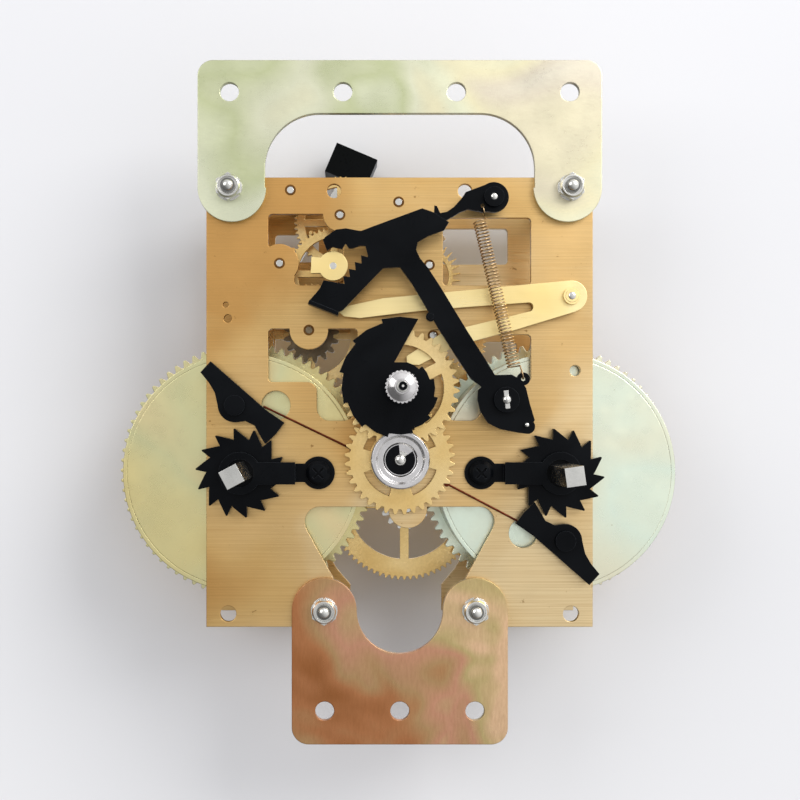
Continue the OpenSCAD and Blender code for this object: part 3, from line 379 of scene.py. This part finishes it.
def turned(at, section, steps=48, start=0, sweep=360):
    """Closed section of [radius, y] turned about the Y axis, open where the sweep leaves it"""
    def build(bm):
        whole = sweep == 360
        rings = []
        for k in range(steps if whole else steps + 1):
            a = math.radians(start + sweep * k / steps)
            rings.append([bm.verts.new(((at[0] + r * math.cos(a)) * MM, y * MM,
                                        (at[1] + r * math.sin(a)) * MM)) for r, y in section])
        for a, b in zip(rings, rings[1:] + rings[:1] if whole else rings[1:]):
            for i in range(len(section)):
                j = (i + 1) % len(section)
                bm.faces.new((a[i], a[j], b[j], b[i]))
        if not whole:
            bm.faces.new(rings[0])
            bm.faces.new(rings[-1])
        bmesh.ops.remove_doubles(bm, verts=bm.verts, dist=WELD)
    return build


def ring(at, inner, outer, front, back, **sector):
    return turned(at, ((inner, front), (outer, front), (outer, back), (inner, back)), **sector)


def dome(at, r, back, rise, root=0.2):
    """Rounded pin end that stands on a flat at y = back, with its root sunk behind it"""
    arc = [(r * math.cos(math.radians(t)) + AXIS_R, back - rise * math.sin(math.radians(t)))
           for t in range(0, 91, 15)]
    return turned(at, [(AXIS_R, back + root), (r, back + root)] + arc, steps=32)


def bar(at, width, height, front, back, lean, rounding=0.08):
    """Small flat bar, leaning by an angle in degrees"""
    def build(bm):
        own = bmesh.new()
        bmesh.ops.create_cube(own, size=1)
        bmesh.ops.scale(own, verts=own.verts, vec=(width * MM, (back - front) * MM, height * MM))
        bmesh.ops.bevel(own, geom=own.edges[:], offset=rounding * MM, segments=2,
                        affect="EDGES")
        bmesh.ops.rotate(own, verts=own.verts, matrix=Matrix.Rotation(math.radians(lean), 3, "Y"))
        bmesh.ops.translate(own, verts=own.verts,
                            vec=(at[0] * MM, (front + back) / 2 * MM, at[1] * MM))
        mesh = bpy.data.meshes.new("bar")
        own.to_mesh(mesh)
        own.free()
        bm.from_mesh(mesh)
        bpy.data.meshes.remove(mesh)
    return build


def several(builds):
    def build(bm):
        for b in builds:
            b(bm)
    return build


def front_of(node, at, reach, beyond=-1):
    """Frontmost depth of a node within reach of a place, and beyond an inner radius"""
    return min(v.co.y for v in nodes[node].data.vertices
               if beyond < math.hypot(v.co.x / MM - at[0], v.co.z / MM - at[1]) < reach) / MM


def quadrant_centres(node):
    """Centre of what a node has in each quarter of the movement"""
    found = []
    for sx in (-1, 1):
        for sz in (-1, 1):
            own = [v.co for v in nodes[node].data.vertices if v.co.x * sx > 0 and v.co.z * sz > 0]
            xs, zs = [c.x for c in own], [c.z for c in own]
            found.append(((min(xs) + max(xs)) / 2 / MM, (min(zs) + max(zs)) / 2 / MM))
    return found


def post_end(at):
    """Depth of the front end of a lever's post"""
    return front_of("lever_studs", at, reach=2.2)


pin_at = {j["name"]: (j["pos_m"][0] / MM, j["pos_m"][2] / MM)
          for j in record["behaviour"]["joints"]}
rack_post, hook_post = pin_at["rack_fall"], pin_at["rack_hook_lift"]
lever_post, minute_post = pin_at["lifting_lever_lift"], pin_at["minute_wheel_spin"]
RACK_RIVET = (29.0, -8.6)
# Front pivots of the trains that neither wheels nor levers hide
SHOWN_PIVOTS = ("strike_second_spin", "warning_spin", "fly_spin", "fourth_spin", "escape_spin",
                "anchor_rock", "hammer_lift")
# How far a washer or dome stands off the end of its post, and a ring is sunk in its piece
LIFT, SUNK = 0.05, 0.1
NUT_BORE, NUT_FACE, NUT_FOOT, NUT_RISE, NUT_EDGE = 2.15, 2.5, 2.85, 0.75, 0.02
CONE_BORE, CONE_FACE, CONE_FOOT, CONE_EDGE, CONE_RISE = 1.78, 3.1, 3.25, 0.12, 0.9
steel, nickel, black = (finish[k] for k in ("bright_steel", "nickel", "black_steel"))


def stud_ends():
    """Rounded stud ends, a grey ring of painted shade where each stud's thread ends, and the
    raised face of each front nut
    """
    ends, thread_shades = [], []
    for at in quadrant_centres("pillar_nuts"):
        stud = front_of("pillars", at, reach=2.5)
        nut = front_of("pillar_nuts", at, reach=4)
        raised = ((NUT_BORE, nut + SUNK), (NUT_BORE, nut - NUT_RISE), (NUT_FACE, nut - NUT_RISE),
                  (NUT_FOOT, nut - NUT_EDGE), (NUT_FOOT, nut + SUNK))
        ends += [dome(at, r=1.35, back=stud - 0.1, rise=0.9), turned(at, raised, steps=40)]
        # A grey ring at the stud's end paints the shade in its thread and in the gap round it
        thread_shades.append(ring(at, inner=1.25, outer=1.72, front=stud - 0.08, back=stud + 0.2))
    painted_thread_shade = metal("painted_thread_shade", palette((96, 96, 94), (128, 127, 122)), 0.4, cloud=200)
    add_mesh("stud_ends", several(ends), steel, "frame")
    add_mesh("stud_thread_shades", several(thread_shades), painted_thread_shade, "frame")


def oil_sinks():
    """Dark rims round the pivots in the front plate"""
    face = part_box("front_plate")[0].y / MM
    dark_sink_brass = metal("dark_sink_brass", palette((84, 56, 28), (120, 84, 44)), 0.42, cloud=300,
                        edge_tone=srgb(150, 112, 66), bevel=0.05)
    rims = [ring(pin_at[name], inner=0.86, outer=1.3, front=face - 0.03, back=face + 0.3)
            for name in SHOWN_PIVOTS]
    add_mesh("oil_sinks", several(rims), dark_sink_brass, "frame")


def rack_post_fittings():
    y = post_end(rack_post)
    washer = ring(rack_post, inner=1.2, outer=2.9, front=y - 0.35, back=y - LIFT)
    end = dome(rack_post, r=1.15, back=y - LIFT, rise=1.1)
    cross_pin = bar(rack_post, width=1.1, height=4.2, front=y - 0.6, back=y - 0.4, lean=-6)
    rivet = dome(RACK_RIVET, r=0.5, back=front_of("rack", RACK_RIVET, reach=0.8), rise=0.35)
    add_mesh("rack_post_washer", washer, black, "frame")
    add_mesh("rack_post_end", several([end, cross_pin]), steel, "frame")
    add_mesh("rack_rivet", rivet, steel, "rack")


def small_post_ends():
    y = post_end(hook_post)
    washer = ring(hook_post, inner=0.9, outer=2.3, front=y - 0.3, back=y - LIFT)
    hook_end = dome(hook_post, r=0.85, back=y - LIFT, rise=0.45)
    lever_end = dome(lever_post, r=0.9, back=post_end(lever_post), rise=0.3)
    add_mesh("hook_post_washer", washer, black, "frame")
    add_mesh("riveted_pin_ends", several([hook_end, lever_end]), steel, "frame")


def clutch_cup_shade():
    """Black open ring round the minute wheel's post, inside the cup: painted shade in the cup's
    hollow, its gap leaving a bright wedge of the cup where a reflection shows
    """
    y = front_of("clutch_cup", minute_post, reach=8) + 0.45
    cup_shade = ring(minute_post, inner=1.3, outer=3.5, front=y, back=y + 0.2, start=95, sweep=300)
    y = front_of("minute_wheel_post", minute_post, reach=2)
    pin_end = dome(minute_post, r=1.05, back=y, rise=0.5)
    add_mesh("clutch_cup_shade", cup_shade, black, "frame")
    add_mesh("clutch_pin_end", pin_end, steel, "frame")


def hand_hub():
    """Turned cone on the hour pipe's collar, and a black ring of painted shade for the drilled
    centre of the minute arbor
    """
    at = pin_at["minute_arbor_spin"]
    y = front_of("hour_pipe", at, reach=3.6, beyond=2.4)
    cone = ((CONE_BORE, y), (CONE_FOOT, y), (CONE_FACE, y - CONE_EDGE), (CONE_BORE, y - CONE_RISE))
    y = front_of("minute_arbor", at, reach=1.5)
    hole_shade = ring(at, inner=0.28, outer=1.0, front=y - 0.04, back=y + SUNK)
    add_mesh("hub_cone", turned(at, cone, steps=60), nickel, "hour")
    add_mesh("arbor_hole_shade", hole_shade, black, "minute_arbor")


# Tension spring in two halves that meet in the middle of its coil.
# Its path is the one that the source gives it.
SPRING_TOP, SPRING_FOOT = Vector((19.1, 13.8, 42.4)), Vector((28.3, 11.5, 2.0))
WIRE_R, COIL_R, CURLS = 0.17, 1.45, 46
CURL_STEPS = 16
# The coil begins this far from an end. The wire leaves its end loop a little nearer and aside.
SPRING_LEAD, LEAD_NEARER, LEAD_ASIDE = 3.2, 0.4, 0.2
END_LOOP_R, END_LOOP_ANGLES = 1.1, range(-130, 151, 10)


def spring_half(end, other, turn):
    """Centre line from the loop at one end to the middle of the coil"""
    along = (other - end).normalized()
    down = (SPRING_FOOT - SPRING_TOP).normalized()
    side = (Vector((0, 1, 0)) - down.y * down).normalized()
    cross = down.cross(side)
    coil = (SPRING_FOOT - SPRING_TOP).length - 2 * SPRING_LEAD
    points = [end + END_LOOP_R * (1 - math.cos(math.radians(t))) * along
              + turn * END_LOOP_R * math.sin(math.radians(t)) * side for t in END_LOOP_ANGLES]
    points.append(end + (SPRING_LEAD - LEAD_NEARER) * along + turn * LEAD_ASIDE * side)
    for i in range(CURL_STEPS * CURLS // 2 + 1):
        a = math.radians(90) + turn * 2 * math.pi * i / CURL_STEPS
        reach = SPRING_LEAD + coil * i / CURL_STEPS / CURLS
        points.append(end + reach * along
                      + COIL_R * (math.cos(a) * side + (math.sin(a) - 1) * cross))
    return points


def wire_mesh(name, points):
    """Round wire along the points, as a mesh with closed ends"""
    curve = bpy.data.curves.new(name, "CURVE")
    curve.dimensions = "3D"
    curve.bevel_depth = WIRE_R * MM
    curve.bevel_resolution = 2
    curve.use_fill_caps = True
    line = curve.splines.new("POLY")
    line.points.add(len(points) - 1)
    for p, at in zip(line.points, points):
        p.co = (*(at * MM), 1)
    drawn = bpy.data.objects.new(name + "_line", curve)
    bpy.context.scene.collection.objects.link(drawn)
    bpy.context.view_layer.update()
    mesh = bpy.data.meshes.new_from_object(drawn.evaluated_get(
        bpy.context.evaluated_depsgraph_get()))
    bpy.data.objects.remove(drawn)
    bpy.data.curves.remove(curve)
    mesh.name = name
    shade_smooth(mesh)
    return mesh


def tension_spring():
    for name, end, other, turn, body in (
            ("tension_spring_top", SPRING_TOP, SPRING_FOOT, 1, "rack_hook"),
            ("tension_spring_foot", SPRING_FOOT, SPRING_TOP, -1, "rack")):
        mesh = wire_mesh(name, spring_half(end, other, turn))
        o = new_object(name, mesh, finish["spring_wire"])
        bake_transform(o)
        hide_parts("tension_spring")


tension_spring()
stud_ends()
oil_sinks()
hand_hub()
rack_post_fittings()
small_post_ends()
clutch_cup_shade()


FLOOR_TONES = palette((203, 203, 206), (209, 209, 211))
FLOOR_HALF_WIDTH = 1.6
FLOOR_GAP = 0.5 * MM


def floor_material():
    n = Net("floor")
    color = n.ramp(n.noise(scale=3.0, detail=2.0),
                   list(zip((NOISE_LOW, NOISE_HIGH), FLOOR_TONES)))
    n.link(color, n.bsdf.inputs["Base Color"])
    n.bsdf.inputs["Roughness"].default_value = 0.85
    n.link(n.bump(n.noise(scale=900, detail=2.0), strength=0.05, distance=0.05 * MM),
           n.bsdf.inputs["Normal"])
    # One-sided, so that the back of the movement shows from behind
    clear = n.add("ShaderNodeBsdfTransparent")
    mix = n.add("ShaderNodeMixShader")
    geo = n.add("ShaderNodeNewGeometry")
    n.link(geo.outputs["Backfacing"], mix.inputs[0])
    n.link(n.bsdf.outputs[0], mix.inputs[1])
    n.link(clear.outputs[0], mix.inputs[2])
    n.link(mix.outputs[0], n.out.inputs[0])
    return n.mat


def add_floor():
    """The movement lies on its back, so the floor is just behind it"""
    half, back = FLOOR_HALF_WIDTH, cad_box[1][1] + FLOOR_GAP
    mesh = bpy.data.meshes.new("floor")
    mesh.from_pydata([(-half, back, -half), (half, back, -half), (half, back, half),
                      (-half, back, half)], [], [(0, 1, 2, 3)])
    floor = new_object("floor", mesh, floor_material())
    # Polished metal just above the floor reflects the studio and not the dark gap under it
    floor.visible_glossy = floor.visible_diffuse = floor.visible_shadow = False


# Depth of the front plate's face, which the camera and the lights are turned to
PLATE_FACE_Y = 20
LIGHTS_AIM = Vector((0, PLATE_FACE_Y * MM, 0))
# The camera's distance from that face, the width of the picture there, and the camera's place
CAMERA_DISTANCE, VIEW_WIDTH = 300, 190.5
CAMERA_X, CAMERA_Z = -10.6, -8.87
SENSOR_WIDTH = 36


def add_camera():
    cam = bpy.data.cameras.new("camera")
    cam.sensor_width = SENSOR_WIDTH
    cam.lens = SENSOR_WIDTH * CAMERA_DISTANCE / VIEW_WIDTH
    cam.shift_x, cam.shift_y = 0.0562, 0.0325
    cam.clip_start, cam.clip_end = 0.01, 20
    camera = bpy.data.objects.new("camera", cam)
    camera.location = (CAMERA_X * MM, (PLATE_FACE_Y - CAMERA_DISTANCE) * MM, CAMERA_Z * MM)
    camera.rotation_euler = (math.radians(90), 0, 0)
    bpy.context.scene.collection.objects.link(camera)
    bpy.context.scene.camera = camera


def area(name, at, size, power, tone=(1, 1, 1)):
    """Soft window of light, turned to the movement"""
    data = bpy.data.lights.new(name, "AREA")
    data.shape = "RECTANGLE"
    data.size, data.size_y = size
    data.energy = power
    data.color = tone
    o = bpy.data.objects.new(name, data)
    o.location = at
    o.rotation_mode = "QUATERNION"
    o.rotation_quaternion = (LIGHTS_AIM - Vector(at)).to_track_quat("-Z", "Y")
    bpy.context.scene.collection.objects.link(o)


# The studio is bright towards the upper right and dim at the lower left
BRIGHT_TOWARDS = (0.80, -0.20, 0.60)
FADE, DIM, BRIGHT = 0.6, 0.22, 1.22
STUDIO_TONE, BACKDROP_TONE = (0.95, 0.96, 0.98, 1), (0.80, 0.81, 0.84, 1)


def add_world():
    world = bpy.data.worlds.new("studio")
    bpy.context.scene.world = world
    world.use_nodes = True
    tree = world.node_tree
    tree.nodes.clear()
    out = tree.nodes.new("ShaderNodeOutputWorld")
    light = tree.nodes.new("ShaderNodeBackground")
    coord = tree.nodes.new("ShaderNodeTexCoord")
    dot = tree.nodes.new("ShaderNodeVectorMath")
    dot.operation = "DOT_PRODUCT"
    dot.inputs[1].default_value = BRIGHT_TOWARDS
    fade = tree.nodes.new("ShaderNodeMapRange")
    for k, v in zip(("From Min", "From Max", "To Min", "To Max"), (-FADE, FADE, DIM, BRIGHT)):
        fade.inputs[k].default_value = v
    light.inputs["Color"].default_value = STUDIO_TONE
    # The backdrop itself stays evenly pale where no floor is behind the movement
    backdrop = tree.nodes.new("ShaderNodeBackground")
    backdrop.inputs["Color"].default_value = BACKDROP_TONE
    path = tree.nodes.new("ShaderNodeLightPath")
    mix = tree.nodes.new("ShaderNodeMixShader")
    for a, b in ((coord.outputs["Generated"], dot.inputs[0]),
                 (dot.outputs["Value"], fade.inputs["Value"]),
                 (fade.outputs[0], light.inputs["Strength"]),
                 (path.outputs["Is Camera Ray"], mix.inputs[0]),
                 (light.outputs[0], mix.inputs[1]),
                 (backdrop.outputs[0], mix.inputs[2]),
                 (mix.outputs[0], out.inputs[0])):
        tree.links.new(a, b)


add_floor()
add_camera()
area("window_light", (0.75, -0.75, 0.70), size=(0.8, 0.8), power=14, tone=(1, 0.99, 0.97))
area("room_light", (-0.85, -0.80, 0.45), size=(0.8, 0.9), power=6.5, tone=(0.99, 0.99, 1))
area("back_light", (0.2, 0.9, 0.9), size=(0.8, 0.8), power=8)
add_world()
bpy.context.scene.view_settings.view_transform = "Standard"
